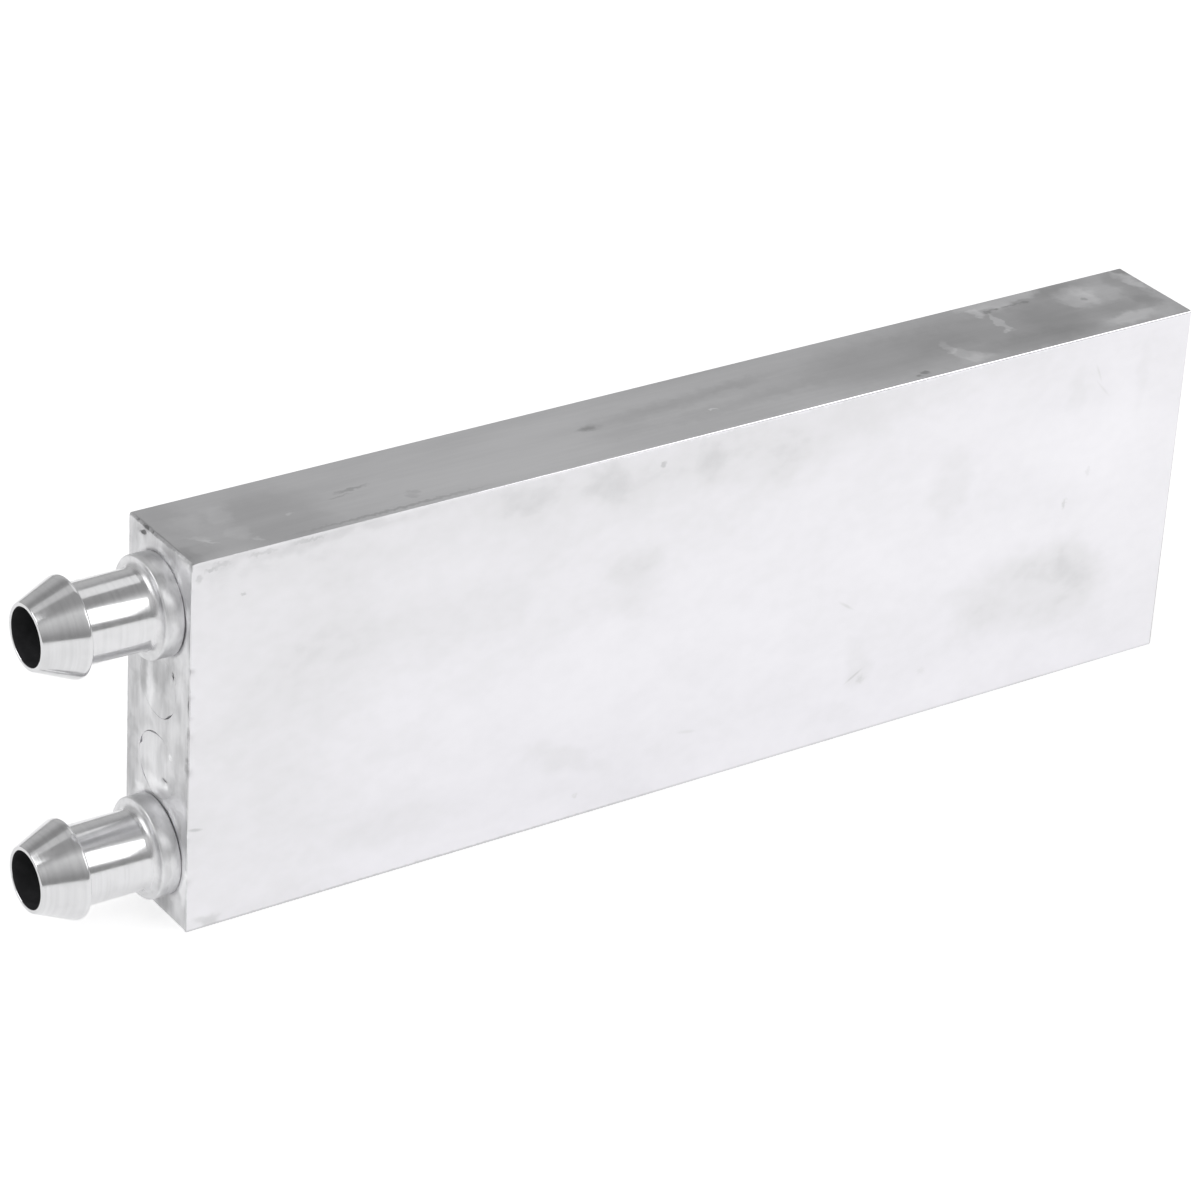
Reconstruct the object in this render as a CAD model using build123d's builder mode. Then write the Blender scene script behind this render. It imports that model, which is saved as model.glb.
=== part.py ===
from build123d import *
import os

os.makedirs("parts", exist_ok=True)

# Extruded bar: channels, webs and walls add up to 40 mm tall and 12 mm thick
block_length = 120.0
channel_count = 4
channel_dia = 6.8
web_wall = 1.95
edge_wall = 3.475
face_wall = 2.6
corner_radius = 0.3
end_break = 0.2

# Windows milled through the webs, just behind the plugs
crossover_length = 7.0
crossover_dia = 5.6

# Pressed plugs
plug_length = 4.0
plug_break = 0.2

# Turned hose nozzles: neck, barb and collar outside, spigot inside the bar
nozzle_bore_dia = 5.8
tip_wall = 0.4
cone_length = 4.0
crest_land = 0.4
barb_step = 1.0
barb_back = 0.2
neck_dia = 8.0
neck_length = 7.3
collar_step = 1.1
collar_length = 2.1
spigot_dia = 8.0
spigot_length = 5.0
spigot_lead = 0.3
socket_relief = 0.2

# Turned corners of a nozzle
rim_break = 0.2
collar_face_flat = 0.05
crest_break = 0.12
tip_break = 0.1
mouth_break = 0.1

# Sizes that follow from the ones above
channel_pitch = channel_dia + web_wall
outer_spacing = (channel_count - 1) * channel_pitch
block_height = outer_spacing + channel_dia + 2 * edge_wall
block_thickness = channel_dia + 2 * face_wall
mid_height = block_height / 2
cove_radius = collar_step - rim_break - collar_face_flat
channel_heights = [
    mid_height - outer_spacing / 2 + channel_pitch * row for row in range(channel_count)
]

# End planes of the bar, both facing along +X
nozzle_end = Plane.YZ.offset(-block_length / 2)
far_end = Plane.YZ.offset(block_length / 2)

# Channel block: bar section with its channels, extruded from the nozzle end
with BuildPart() as channel_block:
    with BuildSketch(nozzle_end):
        with Locations((0, mid_height)):
            RectangleRounded(block_thickness, block_height, corner_radius)
            with GridLocations(channel_pitch, channel_pitch, 1, channel_count):
                Circle(channel_dia / 2, mode=Mode.SUBTRACT)
    extrude(amount=block_length)

    # Sawn ends with a light break around their outlines
    chamfer(channel_block.faces().sort_by(Axis.X)[0].outer_wire().edges(), end_break)
    chamfer(channel_block.faces().sort_by(Axis.X)[-1].outer_wire().edges(), end_break)

    # Far end: each lower and upper pair of channels is joined behind its plugs
    with BuildSketch(far_end.offset(-plug_length)):
        with Locations((0, mid_height)):
            with GridLocations(channel_pitch, 2 * channel_pitch, 1, channel_count // 2):
                SlotCenterToCenter(channel_pitch, crossover_dia, rotation=90)
    extrude(amount=-crossover_length, mode=Mode.SUBTRACT)

    # Nozzle end: the inner channels are joined behind their plugs
    with BuildSketch(nozzle_end.offset(plug_length)):
        with Locations((0, mid_height)):
            with GridLocations(channel_pitch, 2 * channel_pitch, 1, channel_count // 2 - 1):
                SlotCenterToCenter(channel_pitch, crossover_dia, rotation=90)
    extrude(amount=crossover_length, mode=Mode.SUBTRACT)

    # Sockets that the nozzle spigots are pressed into
    with BuildSketch(nozzle_end):
        with Locations((0, mid_height)):
            with GridLocations(channel_pitch, outer_spacing, 1, 2):
                Circle(spigot_dia / 2)
    extrude(amount=spigot_length + socket_relief, mode=Mode.SUBTRACT)

channel_block.part.label = "channel_block"
export_step(channel_block.part, "parts/channel_block.step")

# Half section of a nozzle: distance out from the end face, then radius
bore_radius = nozzle_bore_dia / 2
tip_outer_radius = bore_radius + tip_wall
neck_radius = neck_dia / 2
crest_outer_radius = neck_radius + barb_step
collar_radius = neck_radius + collar_step
barb_foot = collar_length + neck_length
crest_start = barb_foot + barb_back
crest_end = crest_start + crest_land
tip_end = crest_end + cone_length

# Nozzles: one half section turned about its own channel's axis
for nozzle_name, axis_height in (
    ("inlet_nozzle", channel_heights[-1]),
    ("outlet_nozzle", channel_heights[0]),
):
    nozzle_plane = Plane(
        origin=(-block_length / 2, 0, axis_height), x_dir=(-1, 0, 0), z_dir=(0, 1, 0)
    )
    with BuildPart() as nozzle:
        with BuildSketch(nozzle_plane) as half_section:
            with BuildLine():
                Polyline(
                    (-spigot_length, bore_radius),
                    (-spigot_length, spigot_dia / 2),
                    (0, spigot_dia / 2),
                    (0, collar_radius),
                    (collar_length, collar_radius),
                    (collar_length, neck_radius),
                    (barb_foot, neck_radius),
                    (crest_start, crest_outer_radius),
                    (crest_end, crest_outer_radius),
                    (tip_end, tip_outer_radius),
                    (tip_end, bore_radius),
                    close=True,
                )
            make_face()
            cove_corner = (collar_length, neck_radius)
            fillet(half_section.vertices().sort_by_distance(cove_corner)[0], cove_radius)
            for corner, length in (
                ((collar_length, collar_radius), rim_break),
                ((crest_start, crest_outer_radius), crest_break),
                ((tip_end, tip_outer_radius), tip_break),
                ((tip_end, bore_radius), mouth_break),
                ((-spigot_length, spigot_dia / 2), spigot_lead),
            ):
                chamfer(half_section.vertices().sort_by_distance(corner)[0], length)
        revolve(axis=Axis(nozzle_plane.origin, nozzle_plane.x_dir))

    nozzle.part.label = nozzle_name
    export_step(nozzle.part, f"parts/{nozzle_name}.step")

# Plugs: discs pressed flush into every channel mouth that holds no nozzle
for end_name, end_plane, inward, heights in (
    ("nozzle_end", nozzle_end, 1, channel_heights[1:-1]),
    ("far_end", far_end, -1, channel_heights),
):
    for number, axis_height in enumerate(heights, start=1):
        plug_name = f"{end_name}_plug_{number}"
        with BuildPart() as plug:
            with BuildSketch(end_plane):
                with Locations((0, axis_height)):
                    Circle(channel_dia / 2)
            extrude(amount=inward * plug_length)
            # A light break on the outer rim leaves the fine seam seen round each plug
            rims = plug.edges().filter_by(GeomType.CIRCLE)
            chamfer(rims.sort_by_distance(end_plane.origin - end_plane.z_dir * inward)[0], plug_break)

        plug.part.label = plug_name
        export_step(plug.part, f"parts/{plug_name}.step")
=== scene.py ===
import math

import bmesh
import bpy
from mathutils import Matrix, Quaternion, Vector, noise


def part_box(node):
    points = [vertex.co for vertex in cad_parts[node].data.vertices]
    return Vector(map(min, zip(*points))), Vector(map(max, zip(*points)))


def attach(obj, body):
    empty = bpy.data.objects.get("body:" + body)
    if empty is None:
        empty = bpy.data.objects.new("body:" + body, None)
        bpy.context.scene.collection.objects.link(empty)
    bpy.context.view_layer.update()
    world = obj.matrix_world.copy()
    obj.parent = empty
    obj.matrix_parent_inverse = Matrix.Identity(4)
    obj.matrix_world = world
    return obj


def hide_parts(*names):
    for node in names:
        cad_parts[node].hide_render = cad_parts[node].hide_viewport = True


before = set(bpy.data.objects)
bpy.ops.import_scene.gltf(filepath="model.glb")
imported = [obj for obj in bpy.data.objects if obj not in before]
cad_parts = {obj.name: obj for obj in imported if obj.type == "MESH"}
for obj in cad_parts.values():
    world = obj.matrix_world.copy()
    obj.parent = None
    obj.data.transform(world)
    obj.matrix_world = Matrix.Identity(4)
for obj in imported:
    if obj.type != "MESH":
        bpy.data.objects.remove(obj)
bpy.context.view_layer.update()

# Channel block: one extruded aluminium bar with its four water channels, sawn to length.
# Its broad faces are satin with light stains, its narrow faces are drawn grey and streaked,
# and the end with the nozzles is ground over, with the small pits and nicks that the work left.
# Some marks in the colours below are painted shade and painted highlights, as noted where they are
# listed.
mm = 0.001
block_low, block_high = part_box("channel_block")
left_end = block_low.x
front = block_low.y
top = block_high.z
worn_depth = 1.5 * mm
worn_strip = 0.4 * mm
grid_step = 0.2 * mm
merge_distance = 0.001 * mm
sharp_turn = math.radians(30)
block_metal = (0.877, 0.868, 0.899)
stain_grey = (0.65, 0.65, 0.66)
dull_grey = (0.825, 0.82, 0.838)
drawn_metal = (0.64, 0.64, 0.65)
sawn_metal = (0.69, 0.69, 0.70)


def on_block(along, across, up):
    """A place on the bar, in mm from its left end, from its front face and from its foot."""
    return Vector((left_end + along * mm, front + across * mm, up * mm))


def new_mesh_piece(name, shape):
    """Makes a shown object of a finished bmesh."""
    mesh = bpy.data.meshes.new(name)
    shape.to_mesh(mesh)
    shape.free()
    piece = bpy.data.objects.new(name, mesh)
    bpy.context.scene.collection.objects.link(piece)
    return piece


def merged_copy(node):
    """The mesh of a CAD node as one closed skin, without its stored normals."""
    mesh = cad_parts[node].data.copy()
    for stored in [a for a in mesh.attributes if a.name == "custom_normal"]:
        mesh.attributes.remove(stored)
    shape = bmesh.new()
    shape.from_mesh(mesh)
    bpy.data.meshes.remove(mesh)
    bmesh.ops.remove_doubles(shape, verts=shape.verts, dist=merge_distance)
    return shape


def set_sharp_edges(shape):
    """Smooth faces, with the edges sharp where the metal turns a corner."""
    for face in shape.faces:
        face.smooth = True
    for edge in shape.edges:
        edge.smooth = edge.is_manifold and edge.calc_face_angle() < sharp_turn


def cut_grid(shape, chosen, axis, first, last, step):
    """Cuts the chosen faces across one axis at even steps, so that they can be dented."""
    faces = [face for face in shape.faces if chosen(face)]
    edges = {edge for face in faces for edge in face.edges}
    verts = {vert for face in faces for vert in face.verts}
    part = faces + list(edges) + list(verts)
    normal = Vector([float(number == axis) for number in range(3)])
    for number in range(1, int((last - first) / step)):
        place = normal * (first + number * step)
        part = bmesh.ops.bisect_plane(
            shape, geom=part, plane_co=place, plane_no=normal, dist=merge_distance
        )["geom"]


def is_worn_skin(face):
    """Outer skin at the nozzle end: the end face and a narrow strip of each side."""
    centre = face.calc_center_median()
    if centre.x > left_end + worn_depth:
        return False
    from_edge = min(centre.y - front, -front - centre.y, top - centre.z, centre.z)
    return abs(face.normal.x) > 0.5 or from_edge < worn_strip


bar_shape = merged_copy("channel_block")

# Cuts across the bar: behind the worn end, and where the upper front edge changes its roundness
for cut_place in (worn_depth, 20 * mm, 40 * mm, 72 * mm):
    whole_bar = bar_shape.verts[:] + bar_shape.edges[:] + bar_shape.faces[:]
    bmesh.ops.bisect_plane(
        bar_shape,
        geom=whole_bar,
        plane_co=Vector((left_end + cut_place, 0, 0)),
        plane_no=Vector((1, 0, 0)),
        dist=merge_distance,
    )
cut_grid(bar_shape, is_worn_skin, 2, 0, top, grid_step)
cut_grid(bar_shape, is_worn_skin, 1, front, -front, grid_step)
cut_grid(bar_shape, is_worn_skin, 0, left_end, left_end + worn_depth, grid_step)
set_sharp_edges(bar_shape)
broad_slot, narrow_slot, end_slot = range(3)
for face in bar_shape.faces:
    sizes = [abs(part) for part in face.normal]
    face.material_index = (end_slot, broad_slot, narrow_slot)[sizes.index(max(sizes))]


def axis_height(node):
    """Height of the axis of a nozzle or a plug."""
    low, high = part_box(node)
    return (low.z + high.z) / 2


# The end face has a raised, uneven lip round each collar and a slight ripple outside the sockets
nozzle_axes = [axis_height(node) for node in ("inlet_nozzle", "outlet_nozzle")]
end_skin = 0.25 * mm
socket_clearance = 4.5 * mm
lip_radius = 5.45 * mm
lip_width = 0.32 * mm
lip_height = 0.11 * mm
lip_unevenness = 0.7
lip_grain = 1.3 * mm
ripple_height = 0.02 * mm
ripple_grain = 0.8 * mm

# Pits in the end face: distance from the front, height, half width, half height and depth in mm.
# A negative depth is a bump
pits = (
    (9.4, 39.2, 0.75, 0.32, 0.30),
    (4.5, 14.35, 0.38, 0.26, 0.26),
    (3.4, 17.7, 0.26, 0.30, -0.10),
    (3.3, 26.6, 0.14, 0.50, 0.16),
    (2.8, 26.3, 0.14, 0.40, 0.12),
    (9.9, 15.0, 0.25, 0.40, 0.08),
)

# Nicks in the upright front edge: height, half length and depth in mm
nick_reach = 0.45
nick_slant = 0.6
nicks = (
    (29.0, 0.5, 0.22),
    (26.1, 0.4, 0.16),
    (23.9, 0.4, 0.14),
    (22.0, 0.7, 0.20),
    (18.3, 0.9, 0.32),
    (10.6, 0.5, 0.16),
    (6.0, 0.7, 0.24),
    (37.4, 0.4, 0.08),
)

# Upper rim of the end face, rolled over near the front: distance from the front, half length,
# depth and reach in mm. All along it the rim is a little ragged
rim_zone = 1.2 * mm
rolled_rim = (1.5, 1.2, 0.42, 0.55)
roll_in = 0.5
roll_down = 0.6
ragged_height = 0.07 * mm
ragged_grain = 0.9 * mm
ragged_reach = 0.35


def bell(distance, size):
    """A smooth hump: 1 in the middle and almost nothing beyond twice its size."""
    return math.exp(-((distance / size) ** 2))


def worn_move(place):
    """How far the work on the nozzle end has pushed a point of its skin."""
    depth = place.x - left_end
    hold = max(0, 1 - depth / worn_depth)
    across = (place.y - front) / mm
    up = place.z / mm
    move = Vector((0, 0, 0))
    nozzle_gap = min(math.hypot(place.y, place.z - height) for height in nozzle_axes)
    if depth < end_skin:
        uneven = 1 + lip_unevenness * noise.noise(place / lip_grain)
        if nozzle_gap > socket_clearance:
            move.x -= lip_height * uneven * bell(nozzle_gap - lip_radius, lip_width)
            move.x += ripple_height * noise.noise(place / ripple_grain)
        for pit_across, pit_up, half_width, half_height, pit_depth in pits:
            away = math.hypot((across - pit_across) / half_width, (up - pit_up) / half_height)
            move.x += pit_depth * mm * bell(away, 1)
    for nick_up, half_length, nick_depth in nicks:
        edge_gap = math.hypot(across, depth / mm)
        bite = nick_depth * mm * bell(up - nick_up, half_length) * bell(edge_gap, nick_reach)
        move += Vector((nick_slant * bite, bite, 0))
    if place.z > top - rim_zone:
        rim_across, rim_half, rim_depth, rim_reach = rolled_rim
        rim_gap = math.hypot((top - place.z) / mm, depth / mm)
        roll = rim_depth * mm * bell(across - rim_across, rim_half) * bell(rim_gap, rim_reach) * hold
        ragged = ragged_height * noise.noise(place / ragged_grain) * bell(rim_gap, ragged_reach) * hold
        move += Vector((roll_in * roll, 0, -roll_down * roll - abs(ragged)))
    return move


# Edges of the front face, as shares of the bar's even rounding. The upper one is sharp for the first
# tenth from the nozzles and fully round from 0.6 of the length on. The foot and the upright edges
# are nearly sharp
edge_reach = 0.31 * mm
edge_start = 0.12
sharp_share = 0.1
round_share = 0.6
foot_roundness = 0.4
end_roundness = 0.35
for vert in bar_shape.verts:
    if vert.co.y > front + edge_reach:
        continue
    if vert.co.z > top - edge_reach:
        share = (vert.co.x - left_end) / (block_high.x - left_end)
        grown = min(1, max(0, (share - sharp_share) / (round_share - sharp_share)))
        roundness = edge_start + (1 - edge_start) * grown
        vert.co.y = front + (vert.co.y - front) * roundness
        vert.co.z = top - (top - vert.co.z) * roundness
    elif vert.co.z < edge_reach:
        vert.co.y = front + (vert.co.y - front) * foot_roundness
        vert.co.z *= foot_roundness
    else:
        vert.co.y = front + (vert.co.y - front) * end_roundness
    if vert.co.x < left_end + edge_reach:
        vert.co.x = left_end + (vert.co.x - left_end) * end_roundness

for vert in bar_shape.verts:
    if vert.co.x < left_end + worn_depth - merge_distance:
        vert.co += worn_move(vert.co)

bar = new_mesh_piece("bar", bar_shape)


def new_finish(name, metal, roughness):
    """A bare metal material, with its shader set and ready for patterns."""
    finish = bpy.data.materials.new(name)
    finish.use_nodes = True
    shader = finish.node_tree.nodes["Principled BSDF"]
    shader.inputs["Base Color"].default_value = (*metal, 1)
    shader.inputs["Metallic"].default_value = 1
    shader.inputs["Roughness"].default_value = roughness
    return finish, shader


def object_place(finish, place=(0, 0, 0), turn=(0, 0, 0), size=(1, 1, 1), start=None):
    """Object coordinates measured from a place, along turned axes, in units of a pattern's size."""
    nodes, links = finish.node_tree.nodes, finish.node_tree.links
    mapping = nodes.new("ShaderNodeMapping")
    mapping.vector_type = "TEXTURE"
    mapping.inputs["Location"].default_value = place
    mapping.inputs["Rotation"].default_value = turn
    mapping.inputs["Scale"].default_value = size
    start = start or nodes.new("ShaderNodeTexCoord").outputs["Object"]
    links.new(start, mapping.inputs["Vector"])
    return mapping.outputs["Vector"]


def place_along(finish, axis):
    """Distance along one axis of the frame, in metres."""
    split = finish.node_tree.nodes.new("ShaderNodeSeparateXYZ")
    finish.node_tree.links.new(object_place(finish), split.inputs["Vector"])
    return split.outputs[axis]


def grain(finish, size, detail=2.0, twist=0.0, colour=False):
    """Uneven pattern whose features measure size = (along, across, up) in mm."""
    pattern = finish.node_tree.nodes.new("ShaderNodeTexNoise")
    pattern.inputs["Scale"].default_value = 1
    pattern.inputs["Detail"].default_value = detail
    pattern.inputs["Distortion"].default_value = twist
    place = object_place(finish, size=[side * mm for side in size])
    finish.node_tree.links.new(place, pattern.inputs["Vector"])
    return pattern.outputs["Color" if colour else "Fac"]


def spread(finish, value, low, high, new_low, new_high):
    """Maps a pattern from one range to another, with soft ends."""
    nodes, links = finish.node_tree.nodes, finish.node_tree.links
    ranger = nodes.new("ShaderNodeMapRange")
    ranger.interpolation_type = "SMOOTHSTEP"
    ranger.inputs["From Min"].default_value = low
    ranger.inputs["From Max"].default_value = high
    ranger.inputs["To Min"].default_value = new_low
    ranger.inputs["To Max"].default_value = new_high
    links.new(value, ranger.inputs["Value"])
    return ranger.outputs["Result"]


def combine(finish, kind, first, second):
    """Adds, multiplies or takes the larger of two patterns, or of a pattern and a number."""
    nodes, links = finish.node_tree.nodes, finish.node_tree.links
    joint = nodes.new("ShaderNodeMath")
    joint.operation = kind
    for socket, value in zip(joint.inputs, (first, second)):
        if isinstance(value, (int, float)):
            socket.default_value = value
        else:
            links.new(value, socket)
    return joint.outputs["Value"]


def ragged_place(finish, size, shift):
    """Object coordinates pushed about by up to half the shift in mm, for uneven outlines."""
    nodes, links = finish.node_tree.nodes, finish.node_tree.links
    wander = nodes.new("ShaderNodeVectorMath")
    wander.operation = "MULTIPLY_ADD"
    links.new(grain(finish, (size, size, size), 3, colour=True), wander.inputs[0])
    wander.inputs[1].default_value = [shift * mm] * 3
    wander.inputs[2].default_value = [-shift * mm / 2] * 3
    place = nodes.new("ShaderNodeVectorMath")
    place.operation = "ADD"
    links.new(wander.outputs[0], place.inputs[0])
    links.new(nodes.new("ShaderNodeTexCoord").outputs["Object"], place.inputs[1])
    return place.outputs[0]


def add_marks(finish, tone, marks, start):
    """Adds marks to a tone. They are placed on the given coordinates, or on the plain ones."""
    nodes, links = finish.node_tree.nodes, finish.node_tree.links
    for place, half_size, turn, strength, softness in marks:
        distance = nodes.new("ShaderNodeVectorMath")
        distance.operation = "LENGTH"
        size = [side * mm for side in half_size]
        turned = [math.radians(angle) for angle in turn]
        links.new(object_place(finish, on_block(*place), turned, size, start), distance.inputs[0])
        mask = spread(finish, distance.outputs["Value"], 1 - softness, 1 + softness, strength, 0)
        tone = combine(finish, "ADD", tone, mask)
    return tone


def colour_ramp(finish, tone, steps):
    """Turns a tone into a colour, through steps of tone and colour."""
    ramp = finish.node_tree.nodes.new("ShaderNodeValToRGB")
    while len(ramp.color_ramp.elements) < len(steps):
        ramp.color_ramp.elements.new(0.5)
    for element, (place, colour) in zip(ramp.color_ramp.elements, steps):
        element.position = place
        element.color = (*colour, 1)
    finish.node_tree.links.new(tone, ramp.inputs["Fac"])
    return ramp.outputs["Color"]


def colour_by_tone(finish, shader, tone, steps):
    """Colours the metal from dark stain to clean by its tone."""
    finish.node_tree.links.new(colour_ramp(finish, tone, steps), shader.inputs["Base Color"])


def add_relief(finish, shader, height, depth):
    """Fine relief of the given depth in mm."""
    nodes, links = finish.node_tree.nodes, finish.node_tree.links
    bump = nodes.new("ShaderNodeBump")
    bump.inputs["Strength"].default_value = 1
    bump.inputs["Distance"].default_value = depth * mm
    links.new(height, bump.inputs["Height"])
    links.new(bump.outputs["Normal"], shader.inputs["Normal"])


def shade(metal, share):
    """The same metal, darker or lighter."""
    return tuple(min(1, part * share) for part in metal)


broad_finish, shader = new_finish("satin_broad_face", block_metal, 0.38)
broad_place = ragged_place(broad_finish, 3.0, 3.4)
spot_place = ragged_place(broad_finish, 0.5, 1.1)

# Marks of each finish: place from the left end, front and foot, and half sizes, in mm; turn in
# degrees; strength, which darkens where it is negative; and the softness of the outline.
# The broad faces' last two spots are a painted highlight along the upper edge and the start of a
# painted shade line along the foot, and the last of their scratches is that line's whole length
broad_marks = (
    ((102, 0, 11.5), (9.5, 3, 4.6), (0, 8, 0), -0.30, 0.45),
    ((94, 0, 8.5), (3.5, 3, 3.0), (0, 0, 0), -0.10, 0.5),
    ((108, 0, 13), (3.0, 3, 4.0), (0, -25, 0), -0.12, 0.5),
    ((89.5, 0, 27), (2.6, 3, 3.4), (0, 0, 0), -0.22, 0.5),
    ((50, 0, 27.5), (3.2, 3, 1.3), (0, 0, 0), -0.17, 0.6),
    ((51, 0, 23), (2.4, 3, 4.2), (0, 10, 0), -0.09, 0.5),
    ((43, 0, 7.2), (5.2, 3, 1.4), (0, 28, 0), -0.20, 0.5),
    ((46.5, 0, 37), (2.8, 3, 2.0), (0, 0, 0), -0.15, 0.5),
    ((58.5, 0, 36.5), (1.6, 3, 2.2), (0, 0, 0), -0.14, 0.6),
    ((68, 0, 34.5), (2.2, 3, 2.6), (0, 15, 0), -0.11, 0.5),
    ((37, 0, 38), (4.0, 3, 1.6), (0, 0, 0), -0.12, 0.5),
    ((79.5, 0, 8.2), (1.5, 3, 2.8), (0, -10, 0), -0.16, 0.6),
    ((105.5, 0, 33.5), (1.2, 3, 2.6), (0, 0, 0), -0.12, 0.5),
    ((114, 0, 34), (0.9, 3, 3.2), (0, 0, 0), -0.12, 0.5),
    ((76, 0, 3.0), (3.4, 3, 1.4), (0, 0, 0), -0.10, 0.5),
    ((24, 0, 5.0), (7.0, 3, 1.6), (0, 0, 0), -0.09, 0.5),
    # painted shade: the front face darker towards the nozzle end, for a dimmer reflection there
    ((3, 0, 20), (17, 3, 34), (0, 0, 0), -0.26, 0.7),
    ((45, 0, 39.5), (52, 3, 5.0), (0, 0, 0), -0.20, 0.7),
    ((46, 0, 31), (32, 3, 8), (0, -6, 0), -0.16, 0.6),
    ((2.2, 0, 0.6), (1.4, 3, 0.6), (0, 0, 0), -0.30, 0.5),
    # painted shade: the upper edge's rounding dulled near the nozzle end, damping its highlight
    ((14, 0, 39.5), (13, 3, 0.7), (0, 0, 0), -0.16, 0.8),
    ((111, 0, 27), (9.0, 3, 5.0), (0, 10, 0), 0.14, 0.6),
    ((94, 0, 4.0), (6.0, 3, 3.2), (0, -12, 0), 0.14, 0.6),
    ((107, 0, 2.2), (4.6, 3, 1.6), (0, 0, 0), 0.14, 0.6),
)
broad_spots = (
    ((105.2, 0, 20.8), (0.25, 2, 0.6), (0, 0, 0), -0.45, 0.5),
    ((108.0, 0, 24.0), (0.25, 2, 0.5), (0, 0, 0), -0.35, 0.5),
    ((44.6, 0, 2.4), (0.3, 2, 0.3), (0, 0, 0), -0.35, 0.5),
    ((80.0, 0, 6.4), (0.5, 2, 0.5), (0, 0, 0), -0.30, 0.6),
    ((88.0, 0, 5.2), (0.5, 2, 0.4), (0, 0, 0), -0.22, 0.6),
    ((52.8, 0, 37.8), (0.3, 2, 0.3), (0, 0, 0), -0.40, 0.5),
    ((2.0, 0, 39.0), (0.5, 2, 0.25), (0, 0, 0), -0.40, 0.6),
    ((0.8, 0, 38.3), (0.35, 2, 0.35), (0, 0, 0), -0.26, 0.6),
    ((5.5, 0, 35.6), (0.25, 2, 0.2), (0, 0, 0), -0.34, 0.6),
    ((3.2, 0, 39.3), (0.9, 2, 0.25), (0, 0, 0), -0.24, 0.6),
    ((7.5, 0, 39.4), (1.4, 2, 0.22), (0, 0, 0), -0.22, 0.6),
    ((12.5, 0, 39.5), (1.6, 2, 0.2), (0, 0, 0), -0.22, 0.6),
    # painted highlight: a paler band along the rounding of the upper front edge
    ((82, 0, 40), (42, 2, 0.34), (0, 0, 0), 0.35, 0.5),
    # painted shade: the start of the dark line along the foot, which mirrors the shadow it stands in
    ((28, 0, 0), (22, 2, 0.30), (0, 0, 0), -0.25, 0.5),
)
broad_scratches = (
    ((108.0, 0, 35.4), (1.0, 2, 0.12), (0, 66, 0), -0.28, 0.7),
    ((108.8, 0, 33.4), (1.2, 2, 0.12), (0, 48, 0), -0.24, 0.7),
    ((77.2, 0, 15.8), (1.0, 2, 0.15), (0, 35, 0), -0.35, 0.6),
    ((79.0, 0, 7.0), (1.1, 2, 0.15), (0, -30, 0), -0.35, 0.6),
    ((58.0, 0, 6.2), (1.0, 2, 0.18), (0, 10, 0), -0.25, 0.6),
    ((0.8, 0, 11.3), (0.7, 2, 0.16), (0, 12, 0), -0.36, 0.6),
    # painted shade: the dark line along the whole foot
    ((62, 0, 0), (90, 2, 0.30), (0, 0, 0), -0.55, 0.4),
)

# Patterns and roughness go from one range to another: two levels of the pattern, then two results
broad_tone = spread(broad_finish, grain(broad_finish, (9, 9, 5), 4), 0.3, 0.7, 0.66, 0.80)
fine_mottle = spread(broad_finish, grain(broad_finish, (1.6, 1.6, 1.1), 3), 0.3, 0.7, -0.04, 0.04)
broad_tone = combine(broad_finish, "ADD", broad_tone, fine_mottle)
broad_tone = add_marks(broad_finish, broad_tone, broad_marks, broad_place)
broad_tone = add_marks(broad_finish, broad_tone, broad_spots, spot_place)
broad_tone = add_marks(broad_finish, broad_tone, broad_scratches, None)
colour_by_tone(
    broad_finish,
    shader,
    broad_tone,
    ((0.0, stain_grey), (0.4, dull_grey), (0.7, block_metal), (1.0, shade(block_metal, 1.05))),
)

# The rounding of the upper edge is glossier than the face
polish_foot = top - 0.35 * mm
polish_full = top - 0.2 * mm
edge_polish = spread(broad_finish, place_along(broad_finish, "Z"), polish_foot, polish_full, 0, -0.14)
broad_roughness = spread(broad_finish, broad_tone, 0.2, 0.9, 0.46, 0.34)
broad_roughness = combine(broad_finish, "ADD", broad_roughness, edge_polish)
broad_finish.node_tree.links.new(broad_roughness, shader.inputs["Roughness"])
drawn_lines = grain(broad_finish, (12, 0.12, 0.12), 2)
orange_peel = grain(broad_finish, (0.5, 0.5, 0.5), 3)
add_relief(broad_finish, shader, combine(broad_finish, "ADD", drawn_lines, orange_peel), 0.003)

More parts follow.
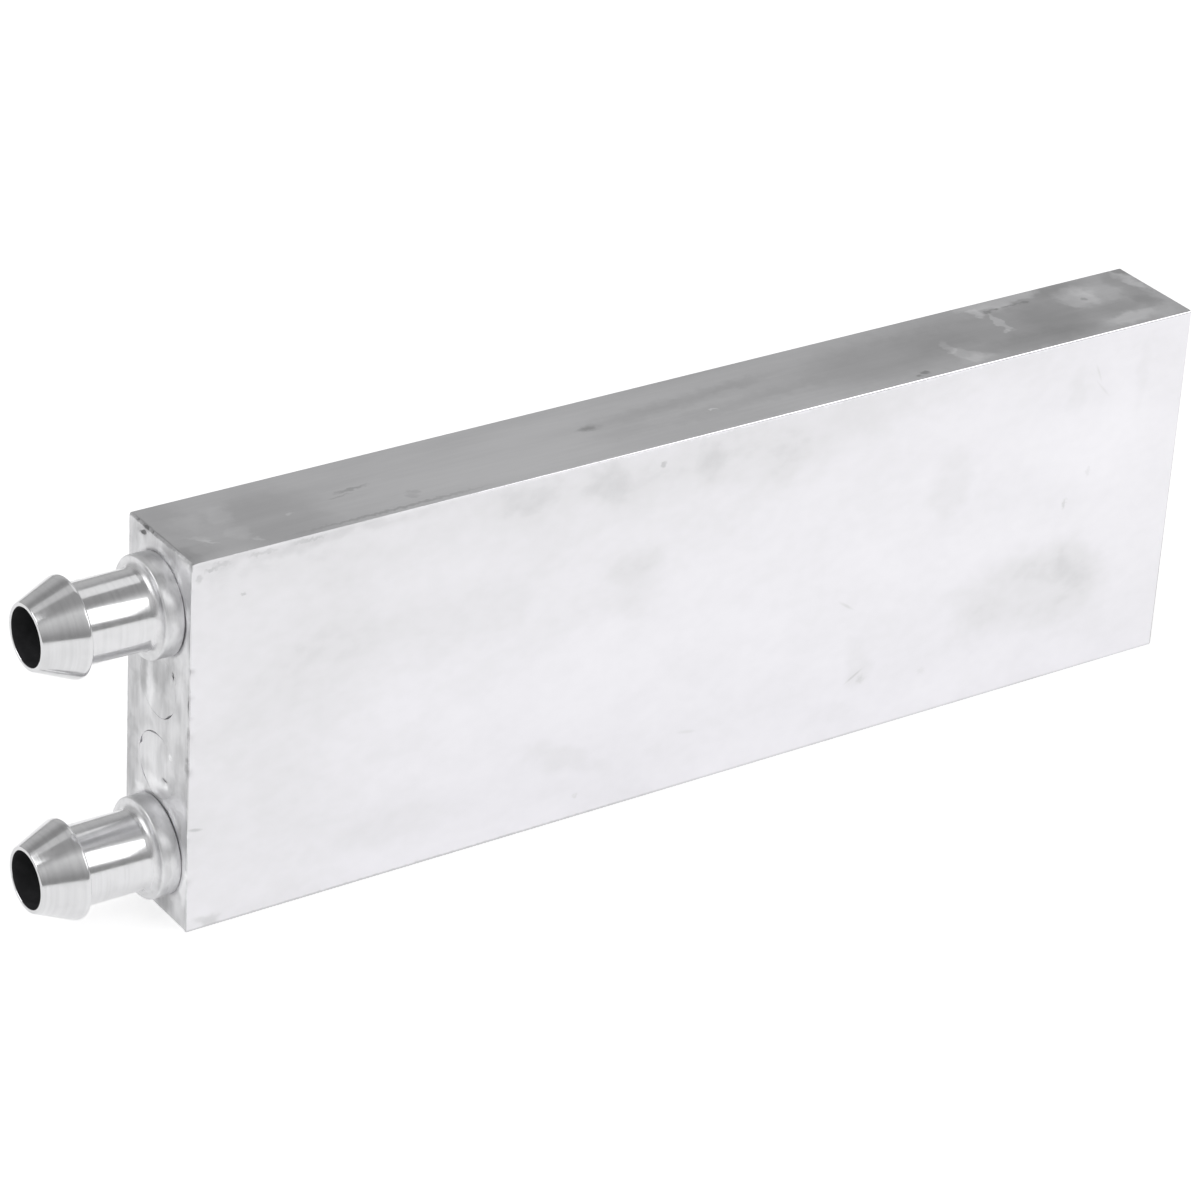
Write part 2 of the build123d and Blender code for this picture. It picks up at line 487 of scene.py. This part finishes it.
narrow_finish, shader = new_finish("drawn_narrow_face", drawn_metal, 0.42)
narrow_place = ragged_place(narrow_finish, 1.5, 2.6)
flaw_place = ragged_place(narrow_finish, 0.6, 0.9)
narrow_marks = (
    ((11.5, 4, 40), (4.6, 6, 2), (0, 0, 0), -0.17, 0.5),
    ((1.2, 1.8, 40), (2.4, 1.8, 2), (0, 0, 0), -0.12, 0.5),
    ((3.3, 7.3, 40), (1.5, 1.4, 2), (0, 0, 20), 0.10, 0.5),
    ((7.0, 7.4, 40), (1.3, 2.0, 2), (0, 0, -20), 0.12, 0.4),
    ((6.9, 3.4, 40), (1.2, 1.4, 2), (0, 0, 0), 0.12, 0.4),
    ((7.9, 1.7, 40), (0.5, 0.35, 2), (0, 0, 0), 0.20, 0.5),
    ((13.0, 4.3, 40), (0.6, 0.3, 2), (0, 0, 0), 0.22, 0.5),
    ((36, 6, 40), (23, 9, 2), (0, 0, 0), 0.12, 0.6),
    ((25.3, 2.6, 40), (0.7, 0.5, 2), (0, 0, 0), -0.16, 0.6),
    ((47.9, 6.4, 40), (1.3, 0.5, 2), (0, 0, 0), -0.26, 0.6),
    ((53, 6.6, 40), (6.0, 1.0, 2), (0, 0, 0), -0.12, 0.9),
    ((61, 7.3, 40), (5.0, 0.9, 2), (0, 0, 3), -0.13, 0.9),
    ((67.5, 7.9, 40), (4.0, 0.7, 2), (0, 0, 6), -0.12, 0.9),
    ((51, 4.1, 40), (3.4, 1.0, 2), (0, 0, 0), -0.11, 0.9),
    ((60, 3.9, 40), (4.0, 1.1, 2), (0, 0, 0), -0.12, 0.9),
    ((69.5, 4.4, 40), (5.0, 0.9, 2), (0, 0, 3), -0.13, 0.9),
    ((61.6, 4.0, 40), (0.4, 0.2, 2), (0, 0, 0), 0.40, 0.5),
    ((84, 5.4, 40), (9.0, 4.4, 2), (0, 0, 6), -0.26, 0.6),
    ((98, 6.6, 40), (9.0, 3.2, 2), (0, 0, 0), -0.14, 0.6),
    ((106, 6.0, 40), (4.0, 4.0, 2), (0, 0, 0), -0.20, 0.6),
    ((107, 6, 40), (17, 9, 2), (0, 0, 0), -0.16, 0.5),
    ((100, 1.8, 40), (8.5, 1.8, 2), (0, 0, 0), -0.24, 0.5),
    ((110.6, 10.6, 40), (3.4, 1.4, 2), (0, 0, 0), -0.22, 0.5),
    ((1.8, 9, 40), (2.0, 4.5, 2), (0, 0, 0), -0.12, 0.6),
    # painted shade: the top face darkened over the rolled rim, damping its glint
    ((0.5, 1.6, 40), (1.0, 1.8, 2), (0, 0, 0), -0.20, 0.6),
    ((100.4, 10.0, 40), (2.4, 0.9, 2), (0, 0, 0), 0.14, 0.6),
    ((114.2, 4.4, 40), (3.4, 1.6, 2), (0, 0, 0), -0.16, 0.6),
    ((117.4, 7.0, 40), (1.2, 5.0, 2), (0, 0, 0), -0.20, 0.5),
    ((117.2, 1.4, 40), (1.6, 1.2, 2), (0, 0, 0), 0.16, 0.6),
    ((119.6, 11.4, 40), (0.8, 0.8, 2), (0, 0, 0), -0.30, 0.5),
    ((91.9, 2.6, 40), (1.2, 1.9, 2), (0, 0, 24), 0.22, 0.25),
    ((91.2, 4.6, 40), (0.7, 1.5, 2), (0, 0, -12), 0.18, 0.25),
    ((92.6, 1.2, 40), (2.0, 0.8, 2), (0, 0, 0), 0.16, 0.5),
    ((94.6, 0.9, 40), (1.6, 0.6, 2), (0, 0, 0), 0.10, 0.7),
    ((102.6, 11.5, 40), (5.4, 1.5, 2), (0, 0, 0), 0.28, 0.22),
    ((98.7, 10.2, 40), (0.9, 0.9, 2), (0, 0, 0), 0.22, 0.3),
    ((99.85, 7.0, 40), (0.42, 2.1, 2), (0, 0, -8), 0.30, 0.3),
    ((99.1, 4.9, 40), (0.75, 0.45, 2), (0, 0, 0), 0.28, 0.4),
    ((111.0, 8.2, 40), (2.1, 2.4, 2), (0, 0, -30), 0.22, 0.22),
    ((112.6, 9.6, 40), (1.6, 1.6, 2), (0, 0, 0), 0.12, 0.5),
    ((114.4, 8.4, 40), (3.4, 2.8, 2), (0, 0, 0), 0.16, 0.8),
    ((112.7, 1.75, 40), (3.2, 1.1, 2), (0, 0, 0), 0.30, 0.5),
    ((118.8, 8.6, 40), (0.7, 2.5, 2), (0, 0, 8), 0.26, 0.45),
)
narrow_scratches = (
    ((100.2, 9.6, 40), (0.45, 0.26, 1), (0, 0, 0), -0.40, 0.5),
    ((101.2, 9.8, 40), (0.5, 0.22, 1), (0, 0, 0), -0.40, 0.5),
    ((103.3, 9.8, 40), (1.4, 0.16, 1), (0, 0, 0), -0.24, 0.5),
    ((105.3, 9.75, 40), (0.35, 0.24, 1), (0, 0, 0), -0.45, 0.5),
    ((111.4, 7.5, 40), (0.4, 0.3, 1), (0, 0, 0), -0.34, 0.5),
    ((3.6, 3.3, 40), (0.85, 0.16, 1), (0, 0, -46), 0.26, 0.7),
    ((2.9, 4.3, 40), (1.0, 0.3, 1), (0, 0, -30), 0.14, 0.7),
    ((20.8, 6.2, 40), (1.6, 0.25, 1), (0, 0, 4), -0.34, 0.6),
    ((19.0, 5.4, 40), (1.2, 0.12, 1), (0, 0, 4), -0.20, 0.6),
    ((22.0, 0.75, 40), (8.5, 0.22, 1), (0, 0, 0), -0.30, 0.6),
    ((48.0, 6.4, 40), (0.8, 0.28, 1), (0, 0, 0), -0.22, 0.6),
    ((85.6, 1.07, 40), (0.5, 0.34, 1), (0, 0, 0), -0.5, 0.5),
    ((84.6, 0.75, 40), (0.32, 0.22, 1), (0, 0, 0), -0.4, 0.5),
)
# Painted shade: a dark line along the upper rim of the end face, damping its glint
narrow_rims = (((0, 6, 40), (0.30, 7, 1), (0, 0, 0), -0.60, 0.5),)
narrow_tone = spread(narrow_finish, grain(narrow_finish, (16, 3.4, 3.4), 3), 0.3, 0.7, 0.53, 0.63)
drawn_streaks = spread(narrow_finish, grain(narrow_finish, (9, 0.5, 0.5), 2), 0.3, 0.7, -0.015, 0.015)
narrow_tone = combine(narrow_finish, "ADD", narrow_tone, drawn_streaks)
narrow_tone = add_marks(narrow_finish, narrow_tone, narrow_marks, narrow_place)
narrow_tone = add_marks(narrow_finish, narrow_tone, narrow_scratches, flaw_place)
narrow_tone = add_marks(narrow_finish, narrow_tone, narrow_rims, ragged_place(narrow_finish, 1.4, 0.3))
colour_by_tone(
    narrow_finish,
    shader,
    narrow_tone,
    ((0.0, shade(drawn_metal, 0.62)), (0.55, drawn_metal), (1.0, shade(drawn_metal, 1.38))),
)
narrow_roughness = spread(narrow_finish, narrow_tone, 0.2, 0.9, 0.48, 0.38)
narrow_finish.node_tree.links.new(narrow_roughness, shader.inputs["Roughness"])
draw_marks = grain(narrow_finish, (10, 0.16, 0.16), 3)
add_relief(narrow_finish, shader, draw_marks, 0.0045)

sawn_finish, shader = new_finish("ground_sawn_end", sawn_metal, 0.42)
sawn_place = ragged_place(sawn_finish, 0.7, 0.6)
sawn_marks = (
    ((0, 11.0, 20), (2, 1.2, 17), (0, 0, 0), -0.18, 0.5),
    ((0, 8.7, 24.4), (2, 0.6, 2.2), (0, 0, 0), -0.32, 0.6),
    ((0, 5.6, 26.0), (2, 2.2, 1.8), (0, 0, 0), -0.26, 0.6),
    ((0, 5.0, 22.6), (2, 1.2, 2.0), (0, 0, 0), -0.08, 0.6),
    ((0, 6.2, 24.2), (2, 1.2, 1.2), (0, 0, 0), -0.06, 0.6),
    ((0, 7.4, 24.0), (2, 0.7, 2.2), (0, 0, 0), 0.24, 0.6),
    ((0, 3.2, 27.4), (2, 1.0, 1.1), (0, 0, 0), -0.20, 0.6),
    ((0, 8.4, 27.4), (2, 0.9, 1.0), (0, 0, 0), 0.40, 0.6),
    ((0, 1.6, 23.4), (2, 0.7, 1.4), (0, 0, 0), -0.14, 0.6),
    ((0, 6.2, 15.6), (2, 1.6, 2.2), (0, 0, 0), 0.12, 0.5),
    ((0, 4.4, 13.2), (2, 3.2, 0.9), (0, 0, 0), 0.55, 0.6),
    ((0, 1.6, 13.0), (2, 0.9, 2.0), (0, 0, 0), 0.40, 0.6),
    ((0, 8.6, 11.6), (2, 1.4, 0.4), (0, 0, 0), 0.26, 0.5),
    ((0, 1.9, 36.9), (2, 0.6, 1.4), (25, 0, 0), 0.65, 0.5),
    ((0, 1.3, 38.4), (2, 1.2, 1.0), (0, 0, 0), 0.70, 0.6),
    # painted highlight: lighter where the end face mirrors the dark side of the upper nozzle
    ((0, 0.7, 36.0), (2, 0.8, 2.4), (0, 0, 0), 0.75, 0.6),
    ((0, 4.8, 38.2), (2, 1.3, 0.35), (-18, 0, 0), 0.30, 0.5),
    ((0, 9.2, 38.8), (2, 3.0, 1.0), (-8, 0, 0), -0.06, 0.5),
    # painted highlight: these two marks brighten a strip beside the lower collar, where the bulged lip
    # catches light
    ((0, 0.6, 9.6), (2, 0.6, 3.0), (0, 0, 0), 0.60, 0.5),
    ((0, 0.6, 5.4), (2, 0.6, 2.4), (0, 0, 0), 0.50, 0.5),
    # painted shade: darker below the lower collar, where the face is shaded and mirrors the shaded floor
    ((0, 4.6, 1.6), (2, 1.6, 1.3), (0, 0, 0), -0.36, 0.6),
    ((0, 1.6, 2.0), (2, 1.0, 1.2), (0, 0, 0), 0.22, 0.6),
    ((0, 0.1, 22), (2, 0.24, 19), (0, 0, 0), -0.15, 0.6),
)
# Painted shade darkens the pits and nicks, and painted highlights lighten a bump and the lit side of a
# pit
pit_shade_and_glints = (
    ((0, 9.35, 39.0), (2, 0.50, 0.20), (-8, 0, 0), -0.75, 0.5),
    ((0, 8.6, 39.7), (2, 0.45, 0.25), (0, 0, 0), -0.35, 0.6),
    ((0, 4.55, 14.45), (2, 0.34, 0.16), (35, 0, 0), -0.70, 0.5),
    ((0, 4.15, 13.9), (2, 0.34, 0.22), (35, 0, 0), 0.50, 0.5),
    ((0, 3.4, 17.7), (2, 0.26, 0.30), (0, 0, 0), 0.60, 0.5),
    ((0, 3.3, 26.6), (2, 0.12, 0.42), (-8, 0, 0), -0.40, 0.6),
    ((0, 2.75, 26.4), (2, 0.12, 0.40), (-8, 0, 0), -0.32, 0.6),
    ((0, 1.7, 37.8), (2, 0.24, 0.24), (0, 0, 0), -0.30, 0.6),
    ((0, 0.8, 6.1), (2, 0.4, 0.45), (0, 0, 0), -0.40, 0.6),
    ((0, 0.3, 18.2), (2, 0.35, 0.9), (0, 0, 0), -0.50, 0.6),
    ((0, 0.2, 22.0), (2, 0.25, 0.6), (0, 0, 0), -0.30, 0.6),
    ((0, 0.2, 24.9), (2, 0.22, 1.0), (0, 0, 0), -0.28, 0.6),
    # painted shade: the same dark line along the upper rim, on the end face
    ((0, 6, 40), (2, 7, 0.24), (0, 0, 0), -0.36, 0.4),
)
sawn_tone = spread(sawn_finish, grain(sawn_finish, (2, 2.4, 3.6), 3, 0.6), 0.3, 0.7, 0.38, 0.62)
grind_streaks = spread(sawn_finish, grain(sawn_finish, (0.8, 0.5, 3.0), 2, 0.3), 0.3, 0.7, -0.05, 0.05)
sawn_tone = combine(sawn_finish, "ADD", sawn_tone, grind_streaks)
sawn_tone = add_marks(sawn_finish, sawn_tone, sawn_marks, sawn_place)
sawn_tone = add_marks(sawn_finish, sawn_tone, pit_shade_and_glints, ragged_place(sawn_finish, 0.4, 0.5))
colour_by_tone(
    sawn_finish,
    shader,
    sawn_tone,
    (
        # the darkest step serves the painted shade in the pits and nicks
        (0.0, shade(sawn_metal, 0.34)),
        (0.04, shade(sawn_metal, 0.65)),
        (0.5, sawn_metal),
        (1.0, shade(sawn_metal, 1.32)),
    ),
)
sawn_roughness = spread(sawn_finish, sawn_tone, 0.2, 0.8, 0.50, 0.36)
sawn_finish.node_tree.links.new(sawn_roughness, shader.inputs["Roughness"])
saw_lines = grain(sawn_finish, (0.5, 0.25, 1.6), 3)
add_relief(sawn_finish, shader, saw_lines, 0.006)

for finish in (broad_finish, narrow_finish, sawn_finish):
    bar.data.materials.append(finish)
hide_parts("channel_block")
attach(bar, "root")

# Plugs: turned aluminium discs pressed into the channel mouths that hold no nozzle.
# They were ground over with the sawn ends, so a seam shows only where a rim was left low.
# Each has its own disc, and the ones at the nozzle end share the end face's pits and ripple.
plug_segments = 96
rim_step = 0.1 * mm
seam_slope = 1.6

# Widths of the seams in mm. The far end's seams swing between two widths
closed_seam = 0.025
far_seam = 0.05
far_seam_swing = 0.18
swings_round = 1.4
plug_seed_step = 3 * mm

# Stretches where a seam stands open: middle angle and half length in degrees, and opening in mm
open_seams = {
    "nozzle_end_plug_1": ((78, 20, 0.18), (21, 7, 0.32), (-44, 16, 0.10)),
    "nozzle_end_plug_2": ((-130, 12, 0.20), (173, 14, 0.10)),
}


def seam_width(node, angle):
    """Width in mm of the seam round a plug at an angle from the back towards the top."""
    if node not in open_seams:
        seed = Vector((math.cos(angle), math.sin(angle), axis_height(node) / plug_seed_step))
        return far_seam + far_seam_swing * max(0, noise.noise(swings_round * seed))
    width = closed_seam
    for middle, half_length, opening in open_seams[node]:
        away = (math.degrees(angle) - middle + 180) % 360 - 180
        width += opening * bell(away, half_length)
    return width


def faces_nozzles(face):
    """True for the flat outer face of a plug at the nozzle end."""
    return face.normal.x < -0.99


# The plugs take a copy of the end face's finish, with its painted shade and painted highlights
plug_finish = sawn_finish.copy()
plug_finish.name = "ground_plug"
for node in [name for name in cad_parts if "_plug_" in name]:
    low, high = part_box(node)
    plug_axis = axis_height(node)
    plug_radius = (high.z - low.z) / 2
    plug_middle = Vector(((low.x + high.x) / 2, 0, plug_axis))
    outward = -1 if high.x < 0 else 1
    plug_face = low.x if outward < 0 else high.x
    plug_shape = bmesh.new()
    bmesh.ops.create_cone(
        plug_shape,
        cap_ends=True,
        segments=plug_segments,
        radius1=plug_radius,
        radius2=plug_radius,
        depth=high.x - low.x,
        matrix=Matrix.Translation(plug_middle) @ Matrix.Rotation(math.pi / 2, 4, "Y"),
    )
    rim = [e for e in plug_shape.edges if all(abs(v.co.x - plug_face) < merge_distance for v in e.verts)]
    bmesh.ops.bevel(
        plug_shape, geom=rim, offset=rim_step, affect="EDGES", segments=1, profile=0.5, material=-1
    )
    for vert in plug_shape.verts:
        if abs(vert.co.x - plug_face) > 1.5 * rim_step:
            continue
        angle = math.atan2(vert.co.z - plug_axis, vert.co.y)
        width = seam_width(node, angle) * mm
        if abs(vert.co.x - plug_face) < merge_distance:
            vert.co.y = (plug_radius - width) * math.cos(angle)
            vert.co.z = plug_axis + (plug_radius - width) * math.sin(angle)
        else:
            vert.co.x = plug_face - outward * seam_slope * width
    if outward < 0:
        cut_grid(plug_shape, faces_nozzles, 2, low.z, high.z, grid_step)
        cut_grid(plug_shape, faces_nozzles, 1, low.y, high.y, grid_step)
        for vert in plug_shape.verts:
            if abs(vert.co.x - plug_face) < merge_distance:
                vert.co += worn_move(vert.co)
    set_sharp_edges(plug_shape)
    plug = new_mesh_piece(f"pressed_{node}", plug_shape)
    plug.data.materials.append(plug_finish)
    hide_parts(node)
    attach(plug, "root")

# Hose nozzles: turned from aluminium rod, with a barb, a neck and a coved collar, and pressed
# into the outer channels by a spigot. The cutting tool left bright metal with fine rings on it.
bore_radius = 2.9 * mm
tip_radius = 3.3 * mm
crest_radius = 5.0 * mm
neck_radius = 4.0 * mm
collar_radius = 5.1 * mm
spigot_length = 5.0 * mm
collar_length = 2.1 * mm
neck_length = 7.3 * mm
barb_back = 0.2 * mm
crest_land = 0.4 * mm
cone_length = 4.0 * mm
barb_foot = collar_length + neck_length
crest_start = barb_foot + barb_back
crest_end = crest_start + crest_land
nozzle_length = crest_end + cone_length
turning_steps = 160
ring_tolerance = 0.01 * mm
turned_metal = (0.745, 0.745, 0.755)

# Where the collar's foot stands off the end face: middle angle from the front towards the top,
# half length in degrees, and how many times deeper the crevice is there
collar_foot_round = 0.12 * mm
crevices = {"inlet_nozzle": (-12, 34, 1.5), "outlet_nozzle": (58, 46, 1.5)}

# Half section: distance out from the bar's end face, then radius
nozzle_section = (
    (-spigot_length, bore_radius),
    (-spigot_length, neck_radius),
    (0, neck_radius),
    (0, collar_radius),
    (collar_length, collar_radius),
    (collar_length, neck_radius),
    (barb_foot, neck_radius),
    (crest_start, crest_radius),
    (crest_end, crest_radius),
    (nozzle_length, tip_radius),
    (nozzle_length, bore_radius),
)

# Rounded corners: the same two numbers, then how far the rounding reaches and its steps
nozzle_rounds = (
    (-spigot_length, neck_radius, 0.3 * mm, 2),
    (0, collar_radius, collar_foot_round, 3),
    (collar_length, collar_radius, 0.22 * mm, 5),
    (collar_length, neck_radius, 0.84 * mm, 10),
    (barb_foot, neck_radius, 0.06 * mm, 3),
    (crest_start, crest_radius, 0.16 * mm, 4),
    (crest_end, crest_radius, 0.17 * mm, 4),
    (nozzle_length, tip_radius, 0.10 * mm, 3),
    (nozzle_length, bore_radius, 0.10 * mm, 3),
)


def is_on_ring(vert, axis, out, radius):
    """True for a corner of the turned section at this distance out and radius."""
    reach = math.hypot(vert.co.y, vert.co.z - axis)
    return abs(left_end - out - vert.co.x) < ring_tolerance and abs(reach - radius) < ring_tolerance


def turned_nozzle(node):
    """Turns the half section into a closed nozzle on its channel's axis and rounds its corners."""
    axis = axis_height(node)
    shape = bmesh.new()
    section = [shape.verts.new((left_end - out, 0, axis + radius)) for out, radius in nozzle_section]
    edges = [shape.edges.new((a, b)) for a, b in zip(section, section[1:] + section[:1])]
    bmesh.ops.spin(
        shape,
        geom=section + edges,
        cent=(0, 0, axis),
        axis=(1, 0, 0),
        angle=math.tau,
        steps=turning_steps,
        use_merge=True,
    )
    bmesh.ops.remove_doubles(shape, verts=shape.verts, dist=merge_distance)
    bmesh.ops.recalc_face_normals(shape, faces=shape.faces)
    for out, radius, reach, segments in nozzle_rounds:
        ring = [
            edge
            for edge in shape.edges
            if all(is_on_ring(vert, axis, out, radius) for vert in edge.verts)
        ]
        bmesh.ops.bevel(
            shape,
            geom=ring,
            offset=reach,
            offset_type="OFFSET",
            affect="EDGES",
            segments=segments,
            profile=0.5,
            material=-1,
        )
    middle, half_length, deeper = crevices[node]
    for vert in shape.verts:
        reach = math.hypot(vert.co.y, vert.co.z - axis)
        step_in = collar_radius - reach
        step_out = left_end - vert.co.x
        if max(abs(step_in), abs(step_out)) > collar_foot_round + merge_distance:
            continue
        angle = math.degrees(math.atan2(vert.co.z - axis, -vert.co.y))
        away = (angle - middle + 180) % 360 - 180
        grow = 1 + deeper * bell(away, half_length)
        vert.co.x = left_end - step_out * grow
        squeeze = (collar_radius - step_in * grow) / reach
        vert.co.y *= squeeze
        vert.co.z = axis + (vert.co.z - axis) * squeeze
    set_sharp_edges(shape)
    for face in shape.faces:
        centre = face.calc_center_median()
        inside = math.hypot(centre.y, centre.z - axis) < bore_radius + 2 * ring_tolerance
        face.material_index = 1 if inside else 0
    return new_mesh_piece(f"turned_{node}", shape)


turned_finish, shader = new_finish("bright_turned", turned_metal, 0.15)
nozzle_place = place_along(turned_finish, "X")
collar_face = left_end - collar_length
cove_width = 0.8 * mm
collar_share = spread(turned_finish, nozzle_place, collar_face - cove_width, collar_face, 0, 1)
tool_rings = grain(turned_finish, (0.16, 60, 60), 2)
turned_tone = spread(turned_finish, grain(turned_finish, (0.3, 20, 20), 2), 0.3, 0.7, 0.45, 0.60)
handling = spread(turned_finish, grain(turned_finish, (2, 2, 2), 4), 0.4, 0.7, 0.0, -0.12)
turned_tone = combine(turned_finish, "ADD", turned_tone, handling)
smear_grain = grain(turned_finish, (0.7, 1.4, 1.4), 3, 0.4)
collar_smears = spread(turned_finish, smear_grain, 0.35, 0.65, -0.22, 0.14)
collar_smears = combine(turned_finish, "MULTIPLY", collar_smears, collar_share)
turned_tone = combine(turned_finish, "ADD", turned_tone, collar_smears)
# Painted shade: the barb's cone is coloured a little darker than the neck
cone_start = left_end - crest_end
cone_shade = spread(turned_finish, nozzle_place, cone_start - 0.3 * mm, cone_start, -0.12, 0)
turned_tone = combine(turned_finish, "ADD", turned_tone, cone_shade)
colour_by_tone(
    turned_finish,
    shader,
    turned_tone,
    ((0.0, shade(turned_metal, 0.80)), (0.5, turned_metal), (1.0, shade(turned_metal, 1.10))),
)
turned_sheen = spread(turned_finish, grain(turned_finish, (1.2, 1.2, 1.2), 3), 0.3, 0.75, 0.13, 0.19)
collar_haze = combine(turned_finish, "MULTIPLY", collar_share, 0.24)
turned_roughness = combine(turned_finish, "ADD", turned_sheen, collar_haze)
turned_finish.node_tree.links.new(turned_roughness, shader.inputs["Roughness"])
add_relief(turned_finish, shader, tool_rings, 0.0016)

# The bore is coloured near-black and dull, not metal: painted shade for the deep channel
bore_dark = (0.030, 0.030, 0.032)
bore_light = (0.050, 0.050, 0.053)
bore_shade_finish, shader = new_finish("painted_shade_bore", bore_dark, 0.6)
shader.inputs["Metallic"].default_value = 0
shader.inputs["Specular IOR Level"].default_value = 0.1
bore_tone = spread(bore_shade_finish, grain(bore_shade_finish, (1, 1, 1), 3), 0.3, 0.7, 0.2, 0.8)
colour_by_tone(bore_shade_finish, shader, bore_tone, ((0.0, bore_dark), (1.0, bore_light)))

for node in ("inlet_nozzle", "outlet_nozzle"):
    nozzle = turned_nozzle(node)
    nozzle.data.materials.append(turned_finish)
    nozzle.data.materials.append(bore_shade_finish)
    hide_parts(node)
    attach(nozzle, "root")

# Studio floor: a sheet of plain white paper, which the plate stands on and throws its shadow on.
# The camera sees it as white, and the bright metal mirrors it a little darker.
floor_half = 3.0
paper_white = (0.76, 0.76, 0.76, 1)
camera_glow = 0.6
mirrored_glow = 0.50
floor_shape = bmesh.new()
bmesh.ops.create_grid(floor_shape, x_segments=1, y_segments=1, size=floor_half)
floor = new_mesh_piece("studio_floor", floor_shape)
paper = bpy.data.materials.new("white_paper")
paper.use_nodes = True
nodes, links = paper.node_tree.nodes, paper.node_tree.links
paper_shader = nodes["Principled BSDF"]
paper_shader.inputs["Base Color"].default_value = paper_white
paper_shader.inputs["Roughness"].default_value = 0.9
paper_shader.inputs["Specular IOR Level"].default_value = 0
ray = nodes.new("ShaderNodeLightPath")
mirrored = combine(paper, "MAXIMUM", ray.outputs["Is Glossy Ray"], ray.outputs["Is Transmission Ray"])
mirrored = combine(paper, "MULTIPLY", mirrored, mirrored_glow)
seen = combine(paper, "MULTIPLY", ray.outputs["Is Camera Ray"], camera_glow)
links.new(combine(paper, "MAXIMUM", seen, mirrored), paper_shader.inputs["Emission Strength"])
paper_shader.inputs["Emission Color"].default_value = (1, 1, 1, 1)
floor.data.materials.append(paper)

# Studio light: one softbox at the front right, two lamps side by side over the back and one on the
# left, in a pale room that is darker high up at the back.
subject = (block_low + block_high) / 2
lamp_distance = 1.3


def softbox(name, direction, width, height, brightness, shift=(0, 0)):
    """A lamp of a size in metres that faces the object, and is then shifted in its own plane."""
    lamp = bpy.data.lights.new(name, "AREA")
    lamp.shape = "RECTANGLE"
    lamp.size = width
    lamp.size_y = height
    lamp.energy = math.pi * width * height * brightness
    holder = bpy.data.objects.new(name, lamp)
    bpy.context.scene.collection.objects.link(holder)
    outward = Vector(direction).normalized()
    facing = (-outward).to_track_quat("-Z", "Y")
    holder.location = subject + outward * lamp_distance + facing @ Vector((*shift, 0))
    holder.rotation_euler = facing.to_euler()
    holder.visible_camera = False


softbox("front_softbox", (0.513, -0.655, 0.5545), 0.64, 0.78, 1.45)
softbox("back_left_strip", (0, 0.384, 0.92), 1.25, 0.45, 0.32, (0.325, 0.025))
softbox("back_right_strip", (0, 0.384, 0.92), 0.8, 0.69, 0.62, (-0.7, -0.075))
softbox("left_lamp", (-0.85, 0.10, 0.75), 0.8, 0.8, 1.8)

# Walls of the room: brightness at each height, from level to straight up. The front one gives way
# to the back one between two depths, where -1 is straight in front of the broad face
front_wall = ((0.0, 0.29), (0.2, 0.36), (0.3, 0.43), (0.54, 0.61), (0.79, 0.79), (0.97, 0.40))
back_wall = ((0.0, 0.43), (0.26, 0.57), (0.48, 0.52), (0.70, 0.31), (0.90, 0.36), (1.0, 0.36))
front_wall_end = -0.55
back_wall_start = -0.15
world = bpy.data.worlds.new("studio")
bpy.context.scene.world = world
world.use_nodes = True
nodes, links = world.node_tree.nodes, world.node_tree.links
outlook = nodes.new("ShaderNodeSeparateXYZ")
links.new(nodes.new("ShaderNodeTexCoord").outputs["Generated"], outlook.inputs["Vector"])
room = nodes.new("ShaderNodeMix")
room.data_type = "RGBA"
share_socket, front_socket, back_socket = (room.inputs[number] for number in (0, 6, 7))
for levels, socket in ((front_wall, front_socket), (back_wall, back_socket)):
    steps = [(height, (level, level, level)) for height, level in levels]
    links.new(colour_ramp(world, outlook.outputs["Z"], steps), socket)
wall_share = spread(world, outlook.outputs["Y"], front_wall_end, back_wall_start, 0, 1)
links.new(wall_share, share_socket)
links.new(room.outputs[2], nodes["Background"].inputs["Color"])

# Camera: set where the photograph was taken from, with a long lens, and rolled a little as it was.
# Places are in the part's frame.
camera_place = Vector((-254.13, -340.33, 247.89)) * mm
camera_aim = Vector((-13.8, -6.0, 24.45)) * mm
camera_roll = math.radians(3.678)
lens_length = 143.13
camera_data = bpy.data.cameras.new("camera")
camera_data.lens = lens_length
camera_data.clip_start = 10 * mm
camera = bpy.data.objects.new("camera", camera_data)
bpy.context.scene.collection.objects.link(camera)
camera.location = camera_place
camera.rotation_mode = "QUATERNION"
level_turn = (camera_aim - camera_place).to_track_quat("-Z", "Y")
camera.rotation_quaternion = level_turn @ Quaternion((0, 0, 1), camera_roll)
bpy.context.scene.camera = camera
bpy.context.scene.view_settings.view_transform = "Standard"
